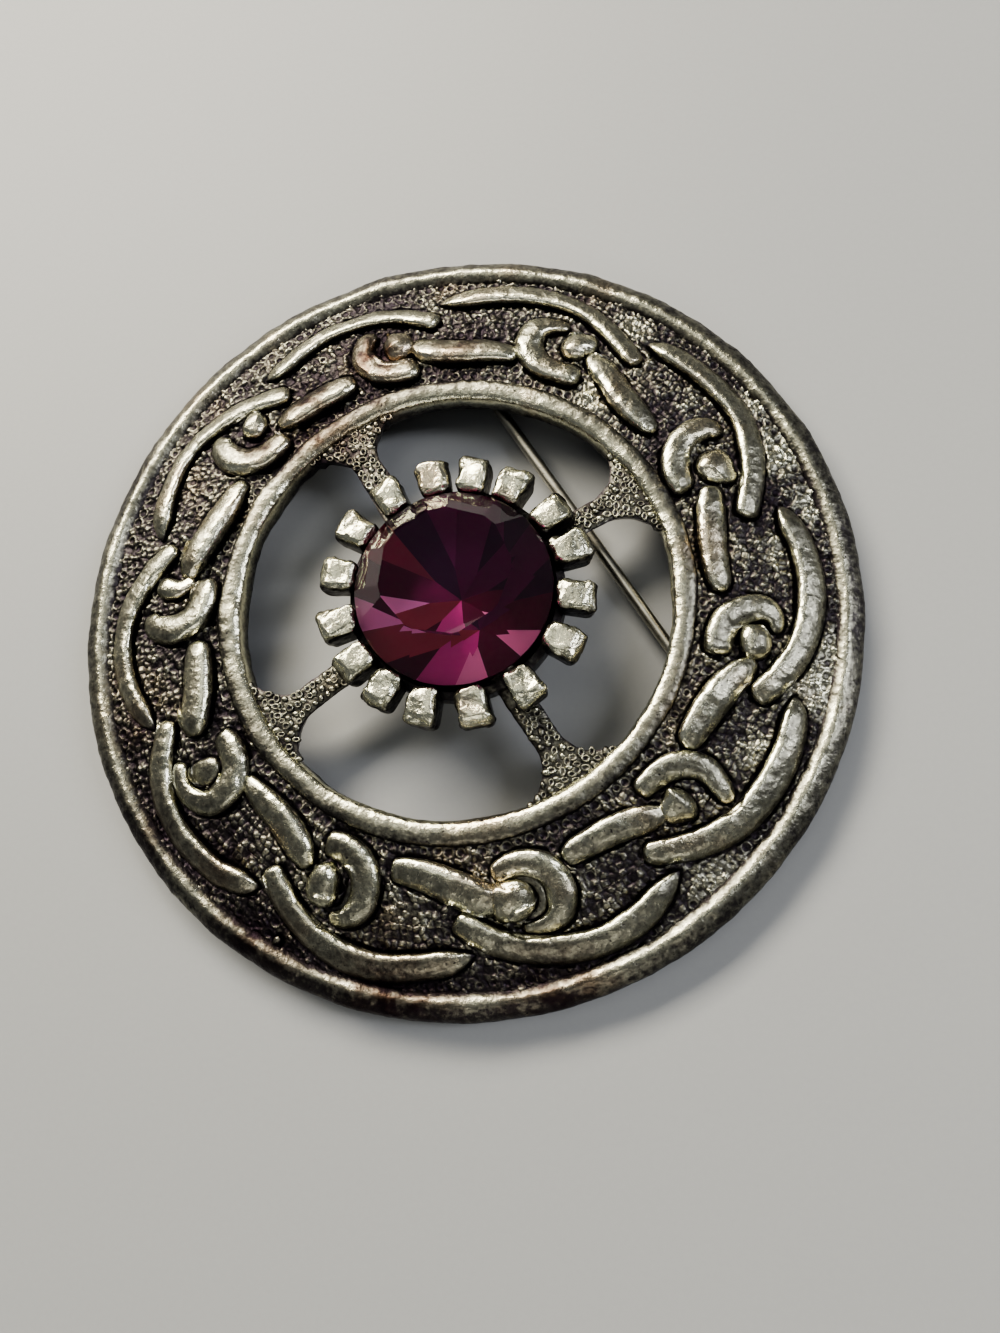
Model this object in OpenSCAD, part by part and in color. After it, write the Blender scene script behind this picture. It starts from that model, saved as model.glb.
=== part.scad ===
// Round openwork brooch: a domed cast ring with raised interlace, four spokes
// that carry a crown of claws round a faceted stone, and a hinged pin behind.
// Millimetres. +Z points out of the face, and Z = 0 is the flat back of the rim.

/* [Ring] */
// Outside radius of the ring
ring_r = 27.5; // [27:0.1:28]
// Width of the raised rim
rim_w = 1.7; // [1.5:0.1:1.9]
// Height of the rim's crest above its back
rim_h = 2.6; // [2.4:0.1:2.8]
// Width of the flat back of the rim that the brooch rests on
foot_w = 1.4; // [1.2:0.1:1.6]
// Height of the sunk ground beside the rim
ground_low_z = 2.1; // [2.0:0.05:2.2]
// Height of the sunk ground beside the inner collar
ground_high_z = 3.75; // [3.7:0.05:3.9]
// Thickness of the casting under the ground
shell_t = 1.15; // [1.05:0.05:1.25]

/* [Collar and window] */
// Radius of the round window
window_r = 15.05; // [15:0.05:15.2]
// Width of the collar round the window
collar_w = 1.4; // [1.3:0.05:1.5]
// Height of the collar above the ground beside it
collar_rise = 0.65; // [0.5:0.05:0.8]

/* [Interlace] */
// Height of the strands above the ground
strand_h = 0.9; // [0.7:0.05:1.0]
// Widest part of a strand
strand_w = 1.75; // [1.6:0.05:1.85]

/* [Spokes] */
// Width of a spoke where it meets the claw cup
spoke_w = 1.9; // [1.7:0.1:2.2]
// Radius of the fillets in the corners of the windows
window_fillet = 1.8; // [1.5:0.1:2.0]
// Underside of the spokes and of the collar
web_bottom_z = 2.4; // [2.35:0.05:2.5]

/* [Claw cup] */
// How far the cup sits to the right of the ring's centre
cup_x = 0.6; // [0.4:0.1:0.7]
// How far the cup sits above the ring's centre
cup_y = 0.1; // [0:0.1:0.2]
// Radius of the cup below the claws
cup_r = 7.3; // [7.2:0.1:7.4]
// Inner end of a claw, measured from the cup's axis
claw_in_r = 6.85; // [6.8:0.05:6.9]
// Outer end of a claw, measured from the cup's axis
claw_out_r = 9.35; // [9.2:0.05:9.4]
// Width of a claw at its outer end
claw_w = 1.85; // [1.7:0.05:1.95]
// Height of the claws' tops
claw_top_z = 6.8; // [6.7:0.1:7.0]

/* [Stone] */
// Radius of the stone at its girdle
stone_r = 6.6; // [6.4:0.05:6.65]
// Height of the girdle's lower edge
girdle_z = 6.15; // [6.05:0.05:6.2]
// Height of the crown above the girdle
crown_h = 3.0; // [2.7:0.1:3.1]
// Depth of the pavilion below the girdle
pavilion_h = 4.4; // [4.2:0.1:4.5]
// Radius of the table's corners
table_r = 3.6; // [3.4:0.1:3.8]

/* [Pin and findings] */
// Radius of the pin's wire
wire_r = 0.42; // [0.38:0.01:0.43]
// Distance of the pin's line from the ring's centre
pin_offset = 10.75; // [10.6:0.05:10.9]
// Direction that the pin's point faces, in degrees from +X
pin_dir = 122.3; // [121:0.1:124]
// Height of the pin's axis
pin_z = 1.05; // [1.0:0.05:1.05]
// Distance from the middle of the pin's line back to the rivet
hinge_back = 15.5; // [15.3:0.1:15.7]
// Distance from the middle of the pin's line on to the catch's middle
catch_ahead = 15.2; // [15:0.1:15.4]
// Radius of the hinge's rivet
rivet_r = 0.4; // [0.38:0.01:0.42]

/* [Hidden] */

ring_sides = 72;
rim_in_r = ring_r - rim_w;
collar_out_r = window_r + collar_w;
rim_side_z = 1.7;
dome_power = 1.6;
seat_z = 2.2;
blank_r = stone_r * 1.04;
strand_sink = 0.35;
eps = 0.01;

// Angle of each unit's hook round the ring, clockwise from the top right
HOOK_ANGLES = [76, 37, -1, -33.5, -68, -103, -138, -174, -212.5, -247.7];
UNIT_PITCH = 36;

// Each strand of one unit. Columns: degrees clockwise from the hook's back,
// distance from the ring's centre, share of the full width
ARC = [[-16, 23.3, 0.75], [-10, 24.0, 0.95], [-2, 24.25, 1], [6, 23.8, 1],
       [12, 22.9, 0.95], [17, 21.8, 0.9], [21, 20.8, 0.7]];
HOOK = [[5.2, 22.0, 0.65], [2.2, 21.2, 0.9], [1.7, 19.9, 1], [4.2, 18.7, 1],
        [8.6, 18.0, 1], [12.8, 17.9, 0.8]];
KNOB = [[9.2, 20.7, 0.9], [11.6, 20.2, 0.9]];
STRAND = [[15.2, 19.7, 0.8], [20, 18.9, 0.95], [27, 18.4, 0.95], [33, 18.3, 0.7]];

// Angles of the four spokes
SPOKE_ANGLES = [30, 121, 214, 303.5];

// How far each claw leans from an even spacing, clockwise from the first
FIRST_CLAW = 103;
CLAW_LEANS = [-2, 1, 3, 2, 5, 4, 4, -1, -3, -5, -4, 0, 1, -1, -1, -2];
claw_step = 360 / len(CLAW_LEANS);

TABLE_TURN = 9.5;
GIRDLE_SPREAD = 9;

// Height of the domed ground at a distance r from the axis
function ground_z(r) =
    ground_high_z
    - (ground_high_z - ground_low_z)
    * pow(max(0, (r - collar_out_r) / (rim_in_r - collar_out_r)), dome_power);

// Point at a distance along the pin's line and a height
pin_mid = [pin_offset * sin(pin_dir), -pin_offset * cos(pin_dir)];
function along_pin(s, z) =
    [pin_mid[0] + s * cos(pin_dir), pin_mid[1] + s * sin(pin_dir), z];

// Cross-section of the ring, from its foot over the rim, dome and collar
module ring_section() {
    dome = [for (r = [23.8, 21.5, 19, 17.6]) [r, ground_z(r)]];
    belly = [for (r = [17.2, 19.5, 22, 24]) [r, ground_z(r) - shell_t]];
    collar_z = ground_high_z + collar_rise;
    edge = 0.3;
    rim_round = 0.85;
    collar_round = 0.4;
    foot_in_r = ring_r - edge - foot_w;
    polygon(concat(
        [[foot_in_r, 0], [ring_r - edge, 0], [ring_r, 0.4], [ring_r, rim_side_z],
         [ring_r - edge, rim_side_z + 0.55], [ring_r - rim_round, rim_h],
         [rim_in_r + edge, rim_h - 0.05], [rim_in_r, ground_low_z]],
        dome,
        [[collar_out_r, ground_high_z], [collar_out_r - 0.2, collar_z - 0.2],
         [collar_out_r - 0.55, collar_z], [window_r + collar_round, collar_z],
         [window_r, collar_z - collar_round], [window_r, web_bottom_z + 0.2],
         [window_r + 0.2, web_bottom_z]],
        belly));
}

// One station of a strand: a short stud with sloping sides, seated in the ground
module stud(a, r, share) {
    w = strand_w * share;
    foot_flare = 0.12;
    top_inset = 0.28;
    translate([r * cos(a), r * sin(a), ground_z(r) - strand_sink])
        rotate([0, 0, a])
            cylinder(h = strand_h + strand_sink, r1 = w / 2 + foot_flare,
                     r2 = w / 2 - top_inset, $fn = 6);
}

// A strand is the chain of hulls between its stations
module strand(rows, hook_angle, stretch) {
    for (i = [1 : len(rows) - 1])
        hull()
            for (row = [rows[i - 1], rows[i]])
                stud(hook_angle - row[0] * stretch, row[1], row[2]);
}

// Ten interlaced units round the ring, each stretched to reach the next
module interlace() {
    for (i = [0 : len(HOOK_ANGLES) - 1]) {
        following = i + 1 < len(HOOK_ANGLES) ? HOOK_ANGLES[i + 1] : HOOK_ANGLES[0] - 360;
        stretch = (HOOK_ANGLES[i] - following) / UNIT_PITCH;
        for (rows = [ARC, HOOK, KNOB, STRAND])
            strand(rows, HOOK_ANGLES[i], stretch);
    }
}

// Spokes in plan, with their flared ends
module spoke_plan() {
    offset(r = -window_fillet)
        offset(delta = window_fillet)
            union() {
                difference() {
                    circle(r = window_r + 3, $fn = ring_sides);
                    circle(r = window_r + 0.3, $fn = ring_sides);
                }
                for (a = SPOKE_ANGLES)
                    rotate([0, 0, a])
                        polygon([[4, -spoke_w / 2], [window_r + 1, -spoke_w * 0.65],
                                 [window_r + 1, spoke_w * 0.65], [4, spoke_w / 2]]);
            }
}

// The spokes rise from the collar to the cup
module spokes() {
    hub_z = 4.7;
    rim_z = ground_high_z + 0.1;
    embed = 0.55;
    root_r = 6;
    intersection() {
        translate([0, 0, web_bottom_z + 0.08])
            linear_extrude(height = 3)
                spoke_plan();
        rotate_extrude($fn = ring_sides)
            polygon([[root_r, 2], [window_r + embed, 2], [window_r + embed, rim_z],
                     [window_r - 2, rim_z], [cup_r, hub_z], [root_r, hub_z]]);
    }
}

// Conical cup that the stone's pavilion sits in
module cup() {
    seat_gap = 0.12;
    cup_top_z = 5.2;
    floor_z = 0.5;
    tip_z = girdle_z - pavilion_h - seat_gap;
    seat_r = blank_r * (cup_top_z - tip_z) / pavilion_h;
    translate([cup_x, cup_y, 0])
        rotate_extrude($fn = 40)
            polygon([[0, floor_z], [2.4, floor_z], [cup_r - 0.4, 3.4], [cup_r, 4],
                     [cup_r, cup_top_z], [seat_r, cup_top_z], [0, tip_z]]);
}

// A claw is a rounded block that leans out from the cup
module claw() {
    nose_r = 0.8;
    crown_r = 0.25;
    root_z = 4.3;
    hull() {
        for (side = [-1, 1]) {
            translate([claw_in_r + crown_r, side * (claw_w / 2 - 0.5), claw_top_z - crown_r])
                sphere(r = crown_r, $fn = 8);
            translate([claw_out_r - nose_r, side * (claw_w / 2 - 0.35), claw_top_z - nose_r])
                rotate([90, 0, 0])
                    cylinder(h = 0.6, r = nose_r, center = true, $fn = 10);
        }
        translate([claw_in_r + 0.1, -claw_w / 2 + 0.35, root_z])
            cube([1.3, claw_w - 0.7, 0.2]);
    }
}

// The casting: ring, rim, collar, interlace, spokes, cup and claws in one piece
module cast_frame() {
    color("#8d877a")
        union() {
            rotate_extrude($fn = ring_sides)
                ring_section();
            interlace();
            spokes();
            cup();
            for (i = [0 : len(CLAW_LEANS) - 1])
                translate([cup_x, cup_y, 0])
                    rotate([0, 0, FIRST_CLAW + CLAW_LEANS[i] - i * claw_step])
                        claw();
            finding_pads();
        }
}

// Flat pads under the shell that the hinge bracket and the catch sit against
module finding_pads() {
    pad_z = seat_z + 0.03;
    pad_l = 2.6;
    pad_w = 3.2;
    for (s = [-hinge_back, catch_ahead])
        translate(along_pin(s, pad_z))
            rotate([0, 0, pin_dir])
                translate([-pad_l / 2, -pad_w / 2, 0])
                    cube([pad_l, pad_w, 0.9]);
}

// Points round a circle at one height, in pairs spread about each table corner
function corner_ring(r, z, spread) =
    [for (i = [0 : 7], side = [-1, 1])
        [r * cos(TABLE_TURN + i * 45 + side * spread),
         r * sin(TABLE_TURN + i * 45 + side * spread), z]];

function single_ring(r, z) =
    [for (i = [0 : 7]) [r * cos(TABLE_TURN + i * 45), r * sin(TABLE_TURN + i * 45), z]];

// Cut stone: table, eight trapezoid and eight triangular crown facets, pavilion
module stone() {
    girdle_h = 0.3;
    crown_slope = (crown_h - girdle_h) / (stone_r - table_r);
    brow_z = girdle_z + crown_h - crown_slope * (blank_r - table_r);
    points = concat(
        single_ring(table_r, girdle_z + crown_h),
        corner_ring(blank_r, brow_z, GIRDLE_SPREAD),
        corner_ring(blank_r, girdle_z, GIRDLE_SPREAD),
        [[0, 0, girdle_z - pavilion_h]]);
    table_face = [[for (i = [7 : -1 : 0]) i]];
    crown = [for (i = [0 : 7]) let (n = (i + 1) % 8)
        each [[i, n, 8 + 2 * n, 9 + 2 * i], [i, 9 + 2 * i, 8 + 2 * i]]];
    girdle = [for (j = [0 : 15]) let (n = (j + 1) % 16) [8 + j, 8 + n, 24 + n, 24 + j]];
    pavilion = [for (j = [0 : 15]) let (n = (j + 1) % 16) [24 + j, 24 + n, 40]];
    color("#5a1440")
        translate([cup_x, cup_y, 0])
            intersection() {
                polyhedron(points, concat(table_face, crown, girdle, pavilion));
                translate([0, 0, girdle_z - pavilion_h - 1])
                    cylinder(h = pavilion_h + crown_h + 2, r = stone_r, $fn = 96);
            }
}

// Steel pin: an eye that turns on the rivet, a straight wire and a ground point
module pin_stem() {
    eye_r = 0.78;
    eye_w = 0.9;
    bore_r = rivet_r + 0.07;
    neck_start = 0.55;
    neck_r = wire_r + 0.05;
    wire_start = 1.4;
    point_start = hinge_back + 12.2;
    point_len = 5.4;
    tip_r = 0.06;
    color("#b9b9b4")
        translate(along_pin(-hinge_back, pin_z))
            rotate([0, 0, pin_dir])
                difference() {
                    union() {
                        rotate([90, 0, 0])
                            cylinder(h = eye_w, r = eye_r, center = true, $fn = 48);
                        translate([neck_start, 0, 0])
                            rotate([0, 90, 0])
                                cylinder(h = wire_start - neck_start, r1 = neck_r,
                                         r2 = wire_r, $fn = 48);
                        translate([wire_start, 0, 0])
                            rotate([0, 90, 0])
                                cylinder(h = point_start - wire_start, r = wire_r, $fn = 48);
                        translate([point_start, 0, 0])
                            rotate([0, 90, 0])
                                cylinder(h = point_len, r1 = wire_r, r2 = tip_r, $fn = 48);
                    }
                    rotate([90, 0, 0])
                        cylinder(h = eye_w + 1, r = bore_r, center = true, $fn = 48);
                }
}

// Hinge bracket: a plate with two ears and the rivet through them
module hinge_bracket() {
    ear_r = 0.78;
    ear_t = 0.45;
    ear_gap = 1.1;
    plate_t = 0.26;
    plate_z = seat_z - pin_z - plate_t;
    head_t = 0.15;
    color("#a8a49a")
        translate(along_pin(-hinge_back, pin_z))
            rotate([0, 0, pin_dir]) {
                translate([-ear_r, -ear_gap / 2 - ear_t, plate_z])
                    cube([2 * ear_r, ear_gap + 2 * ear_t, plate_t]);
                for (side = [-1, 1])
                    translate([0, side * (ear_gap + ear_t) / 2, 0]) {
                        rotate([90, 0, 0])
                            cylinder(h = ear_t, r = ear_r, center = true, $fn = 48);
                        translate([-ear_r, -ear_t / 2, 0])
                            cube([2 * ear_r, ear_t, plate_z + eps]);
                    }
                rotate([90, 0, 0])
                    cylinder(h = ear_gap + 2 * ear_t + 2 * head_t, r = rivet_r, center = true,
                             $fn = 48);
            }
}

// Catch: a plain trough that takes the pin's point from behind
module catch() {
    trough_l = 2.2;
    trough_w = 2.0;
    slot_w = 1.15;
    top_z = seat_z - pin_z;
    slot_z = 0.6;
    lip_z = -0.7;
    color("#a8a49a")
        translate(along_pin(catch_ahead, pin_z))
            rotate([0, 0, pin_dir])
                difference() {
                    translate([-trough_l / 2, -trough_w / 2, lip_z])
                        cube([trough_l, trough_w, top_z - lip_z]);
                    translate([-trough_l / 2 - 1, -slot_w / 2, lip_z - 1])
                        cube([trough_l + 2, slot_w, slot_z - lip_z + 1]);
                }
}

cast_frame();
stone();
pin_stem();
hinge_bracket();
catch();
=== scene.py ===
import math
import random

import bpy
import numpy as np
from mathutils import Matrix, Vector, kdtree, noise


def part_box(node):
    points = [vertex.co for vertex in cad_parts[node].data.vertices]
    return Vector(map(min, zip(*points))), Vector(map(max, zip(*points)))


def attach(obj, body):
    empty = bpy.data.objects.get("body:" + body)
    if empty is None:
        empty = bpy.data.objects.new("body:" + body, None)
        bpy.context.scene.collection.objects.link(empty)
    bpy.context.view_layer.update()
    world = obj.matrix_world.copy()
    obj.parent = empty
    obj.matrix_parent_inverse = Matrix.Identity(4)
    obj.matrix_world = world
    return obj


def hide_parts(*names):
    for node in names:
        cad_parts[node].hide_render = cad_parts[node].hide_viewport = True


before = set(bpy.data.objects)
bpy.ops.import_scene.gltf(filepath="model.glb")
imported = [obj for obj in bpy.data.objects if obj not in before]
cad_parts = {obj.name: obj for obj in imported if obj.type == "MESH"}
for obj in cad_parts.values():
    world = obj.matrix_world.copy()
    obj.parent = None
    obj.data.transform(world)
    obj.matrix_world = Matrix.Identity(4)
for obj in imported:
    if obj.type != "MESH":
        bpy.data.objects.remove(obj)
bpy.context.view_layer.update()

# Everything is modelled in millimetres, and brought to metres at the end
mm = 0.001
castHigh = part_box("cast_frame")[1]
stoneLow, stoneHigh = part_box("stone")


def deselectAll():
    if bpy.context.object and bpy.context.object.mode != "OBJECT":
        bpy.ops.object.mode_set(mode="OBJECT")
    bpy.ops.object.select_all(action="DESELECT")


def makeActive(piece):
    deselectAll()
    piece.select_set(True)
    bpy.context.view_layer.objects.active = piece


def applyModifier(piece, kind, **settings):
    makeActive(piece)
    modifier = piece.modifiers.new(kind.lower(), kind)
    for name, value in settings.items():
        setattr(modifier, name, value)
    bpy.ops.object.modifier_apply(modifier=modifier.name)


def joinPieces(pieces, name):
    makeActive(pieces[0])
    for piece in pieces:
        piece.select_set(True)
    bpy.ops.object.join()
    joined = bpy.context.object
    joined.name = name
    return joined


def mergeAndTurnOut(piece, distance=0.0001):
    makeActive(piece)
    bpy.ops.object.mode_set(mode="EDIT")
    bpy.ops.mesh.select_all(action="SELECT")
    bpy.ops.mesh.remove_doubles(threshold=distance)
    bpy.ops.mesh.normals_make_consistent(inside=False)
    bpy.ops.object.mode_set(mode="OBJECT")


def readPoints(piece):
    points = np.empty(len(piece.data.vertices) * 3)
    piece.data.vertices.foreach_get("co", points)
    return points.reshape(-1, 3)


def writePoints(piece, points):
    piece.data.vertices.foreach_set("co", np.ascontiguousarray(points).ravel())
    piece.data.update()


def readNormals(piece):
    normals = np.empty(len(piece.data.vertices) * 3)
    piece.data.vertex_normals.foreach_get("vector", normals)
    return normals.reshape(-1, 3)


def smoothStep(low, high, values):
    share = np.clip((np.asarray(values, float) - low) / (high - low), 0, 1)
    return share * share * (3 - 2 * share)


def polarPoint(angle, radius):
    return np.array([radius * math.cos(math.radians(angle)), radius * math.sin(math.radians(angle))])


def radiusOf(points):
    return np.hypot(points[:, 0], points[:, 1])


# Soft lumps of one size in mm, from -1 to 1
def lumps(points, size, seed):
    shift = Vector((seed, -seed, 0.7 * seed))
    return np.array([noise.noise(Vector(p) / size + shift) for p in points])


# Moves a surface along its normals by layers of (size, depth) lumps
def hammer(piece, layers, seed, share):
    points = readPoints(piece)
    push = sum(depth * lumps(points, size, seed + size) for size, depth in layers)
    writePoints(piece, points + readNormals(piece) * (push * share)[:, None])


# How strongly each point lies in charted spots. Their columns: angle, radius, reach, share
def spotShares(points, spots):
    shares = np.zeros(len(points))
    for angle, radius, reach, share in spots:
        spotX, spotY = polarPoint(angle, radius)
        away = np.hypot(points[:, 0] - spotX, points[:, 1] - spotY)
        shares = np.maximum(shares, share * (1 - away / reach))
    return shares


# Finds the nearest of many places in the plan
def planTree(places):
    tree = kdtree.KDTree(len(places))
    for i, place in enumerate(places):
        tree.insert((place[0], place[1], 0), i)
    tree.balance()
    return tree


# The two things that the metal's colour follows: how far it is rubbed, with painted highlights and shade in
# it, and how brown it has gone, with painted shade on the lower rim
def setWearAndPaintedLight(piece, wearAndPaintedLight):
    stainAndShade = spotShares(readPoints(piece), pewter["stainsAndShade"])
    for name, values in (("wearAndPaintedLight", wearAndPaintedLight), ("stainAndShade", stainAndShade)):
        layer = piece.data.attributes.new(name, "FLOAT", "POINT")
        layer.data.foreach_set("value", np.clip(values, 0, 1).astype(np.float32))


# Height of the domed ground of the ring at a radius
def groundHeight(radius):
    inner, outer = ring["groundInR"], ring["groundOutR"]
    reach = (np.maximum(radius, inner) - inner) / (outer - inner)
    return ring["groundHigh"] - (ring["groundHigh"] - ring["groundLow"]) * reach ** ring["domePower"]


# Keeps a piece inside the casting's own box and above the table it lies on
def keepInside(piece):
    points = readPoints(piece)
    radius = radiusOf(points)
    outside = radius > ring["outerR"]
    points[outside, :2] *= (ring["outerR"] / radius[outside])[:, None]
    points[:, 2] = np.clip(points[:, 2], 0, castHigh.z / mm)
    writePoints(piece, points)


# A closed section, given as (radius, height) points, turned round the axis
def turnPiece(name, section, steps, centre=(0, 0)):
    deselectAll()
    bpy.ops.mesh.primitive_circle_add(vertices=len(section), radius=1)
    piece = bpy.context.object
    piece.name = name
    writePoints(piece, np.array([(radius, 0, height) for radius, height in section]))
    applyModifier(piece, "SCREW", angle=2 * math.pi, screw_offset=0, steps=steps, render_steps=steps,
                  use_merge_vertices=True, merge_threshold=0.00001, use_normal_calculate=True)
    writePoints(piece, readPoints(piece) + [centre[0], centre[1], 0])
    mergeAndTurnOut(piece)
    return piece


# Rubs and hammers a piece of the casting, with painted highlights and painted shade laid in with the
# rubbing, brings it to metres and gives it the metal. Where heights are given, the hammering sets in
# between two of them
def finishCasting(piece, look, wearAndPaintedLight, heights=None):
    setWearAndPaintedLight(piece, wearAndPaintedLight)
    if "hammer" in look:
        share = 1.0 if heights is None else smoothStep(*look["hammerFrom"], heights)
        hammer(piece, look["hammer"], look["seed"], share)
    keepInside(piece)
    piece.data.transform(Matrix.Scale(mm, 4))
    piece.data.materials.clear()
    piece.data.materials.append(pewterMetal)
    makeActive(piece)
    bpy.ops.object.shade_smooth_by_angle(angle=math.radians(look["smooth"]))
    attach(piece, "brooch")
    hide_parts("cast_frame")
    print(f"{piece.name}: {sum(len(face.vertices) - 2 for face in piece.data.polygons)} triangles")


# sRGB hex colour to linear
def colour(hexText):
    parts = [int(hexText[i:i + 2], 16) / 255 for i in (1, 3, 5)]
    linear = [c / 12.92 if c <= 0.04045 else ((c + 0.055) / 1.055) ** 2.4 for c in parts]
    return (*linear, 1.0)


# Adds a node with its own settings. Its sockets are given by name, or as a row from the first one
# on, and a node among them stands for its first output. A ramp has stops
def addNode(tree, kind, sockets=(), stops=(), **settings):
    made = tree.nodes.new("ShaderNode" + kind)
    for name, value in settings.items():
        setattr(made, name, value)
    named = sockets if isinstance(sockets, dict) else dict(enumerate(sockets))
    for name, value in named.items():
        if isinstance(value, bpy.types.Node):
            value = next(output for output in value.outputs if output.enabled)
        if isinstance(value, bpy.types.NodeSocket):
            tree.links.new(value, made.inputs[name])
        else:
            made.inputs[name].default_value = value
    if stops:
        ramp = made.color_ramp
        while len(ramp.elements) < len(stops):
            ramp.elements.new(0.5)
        for element, (position, hexText) in zip(ramp.elements, stops):
            element.position = position
            element.color = colour(hexText)
    return made


# An empty material, its tree, and the place on the piece that its patterns read
def newMaterial(name):
    material = bpy.data.materials.new(name)
    material.use_nodes = True
    tree = material.node_tree
    tree.nodes.clear()
    return material, tree, addNode(tree, "TexCoord").outputs["Object"]


# Antiqued cast pewter: black patina left in the hollows, the high parts rubbed to a warm pale
# metal, brown oxide and stains in patches, with casting pits and fine rubbing scratches
# painted highlights and painted shade are laid into the same tones as the rubbing
pewter = {
    # noise: size in mm, detail, roughness
    "patterns": {"patches": (5.0, 4.0, 0.5), "grain": (0.42, 5.0, 0.6), "speck": (0.24, 2.0, 0.5),
                 "dents": (0.95, 2.0, 0.5), "scratches": (0.11, 2.0, 0.5)},
    "scratchTurn": 0.6, "scratchStretch": (1, 0.12, 1),
    # bump: strength, depth in mm
    "bumps": {"dents": (0.6, 0.12), "grain": (0.8, 0.075), "speck": (0.7, 0.035),
              "scratches": (0.25, 0.012)},
    # colours from the hollows to what is rubbed most, which the painted highlights also reach
    "tones": [(0.0, "#282427"), (0.22, "#3d3b38"), (0.5, "#939282"), (0.75, "#d3d2b9"), (1.0, "#f5f4dd")],
    # oxide and brown tint the metal itself; wine is a painted purple reflection in its darkest hollows
    "oxide": "#b4886c", "brown": "#a4705e", "wine": "#2b2230",
    # what a pattern turns into: its own low and high, then the low and high that they become
    "grainShift": (0.3, 0.7, -0.13, 0.11), "patchShift": (0.3, 0.7, -0.12, 0.08),
    "speckShift": (0.24, 0.33, -0.35, 0.0), "stainAndShadeGrain": (0.35, 0.6, 0.4, 1.0),
    "oxideMask": (0.54, 0.68, 0.0, 0.4), "purpleReflectionMask": (0.1, 0.4, 0.22, 0.0),
    "roughness": (0.15, 0.8, 0.42, 0.18), "roughGrain": (0.3, 0.7, 0.08, -0.05),
    # brown stains, and painted shade on the lower rim: how much they darken, then angle, radius, reach,
    # share
    "stainAndShadeDark": -0.3,
    "stainsAndShade": [(139, 18.6, 2.6, 0.7), (124, 18.8, 3.2, 0.8), (107, 19.6, 4.0, 1.0), (89, 18.8, 3.4, 0.6),
                # the spots at radius 27 from 215 to 284 degrees lie on the lower rim: brown, and painted
                # shade
                (128, 15.6, 5.0, 0.7), (110, 15.8, 3.4, 0.5), (262, 27.2, 6.0, 1.0), (240, 27.2, 5.5, 0.8),
                (284, 27.2, 5.5, 0.8), (215, 27.0, 4.5, 0.5), (228, 23.6, 3.2, 0.5), (200, 24.2, 2.8, 0.4)],
}


def castPewter():
    material, tree, place = newMaterial("antiqued_cast_pewter")
    wearAndPaintedLight = addNode(tree, "Attribute", attribute_name="wearAndPaintedLight").outputs["Fac"]
    stainAndShade = addNode(tree, "Attribute", attribute_name="stainAndShade").outputs["Fac"]
    stretched = addNode(tree, "Mapping", {
        "Vector": place, "Rotation": (0, 0, pewter["scratchTurn"]), "Scale": pewter["scratchStretch"]})
    patterns = {}
    for name, (size, detail, rough) in pewter["patterns"].items():
        along = stretched if name == "scratches" else place
        patterns[name] = addNode(tree, "TexNoise", {
            "Vector": along, "Scale": 1 / (size * mm), "Detail": detail, "Roughness": rough})

    grainShift = addNode(tree, "MapRange", [patterns["grain"], *pewter["grainShift"]])
    patchShift = addNode(tree, "MapRange", [patterns["patches"], *pewter["patchShift"]])
    speckShift = addNode(tree, "MapRange", [patterns["speck"], *pewter["speckShift"]])
    stainAndShadeGrain = addNode(tree, "MapRange", [patterns["dents"], *pewter["stainAndShadeGrain"]])
    stainAndShadeMask = addNode(tree, "Math", [stainAndShade, stainAndShadeGrain], operation="MULTIPLY")
    stainAndShadeDark = addNode(tree, "Math", [stainAndShadeMask, pewter["stainAndShadeDark"]], operation="MULTIPLY")
    # how pale the metal is: rubbed metal, with painted highlights and painted shade
    toneLevel = wearAndPaintedLight
    for shift in (grainShift, patchShift, stainAndShadeDark):
        toneLevel = addNode(tree, "Math", [toneLevel, shift], operation="ADD")
    toneLevel = addNode(tree, "Math", [toneLevel, speckShift], operation="ADD", use_clamp=True)

    oxideMask = addNode(tree, "MapRange", [patterns["patches"], *pewter["oxideMask"]])
    # painted purple reflection over the darkest tones
    purpleReflectionMask = addNode(tree, "MapRange", [toneLevel, *pewter["purpleReflectionMask"]])
    tint = addNode(tree, "ValToRGB", [toneLevel], pewter["tones"])
    layers = ((oxideMask, "oxide", "MULTIPLY"), (stainAndShadeMask, "brown", "MULTIPLY"), (purpleReflectionMask, "wine", "MIX"))
    for mask, name, way in layers:
        tint = addNode(tree, "Mix", {"Factor": mask, "A": tint, "B": colour(pewter[name])},
                       data_type="RGBA", blend_type=way)

    rubbedRough = addNode(tree, "MapRange", [toneLevel, *pewter["roughness"]])
    grainRough = addNode(tree, "MapRange", [patterns["speck"], *pewter["roughGrain"]])
    roughness = addNode(tree, "Math", [rubbedRough, grainRough], operation="ADD")
    bump = {}
    for name, (strength, depth) in pewter["bumps"].items():
        layer = {"Strength": strength, "Distance": depth * mm, "Height": patterns[name], **bump}
        bump = {"Normal": addNode(tree, "Bump", layer)}
    shader = addNode(tree, "BsdfPrincipled", {
        "Base Color": tint, "Metallic": 1.0, "Roughness": roughness, **bump})
    addNode(tree, "OutputMaterial", [shader])
    return material


pewterMetal = castPewter()
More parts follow.
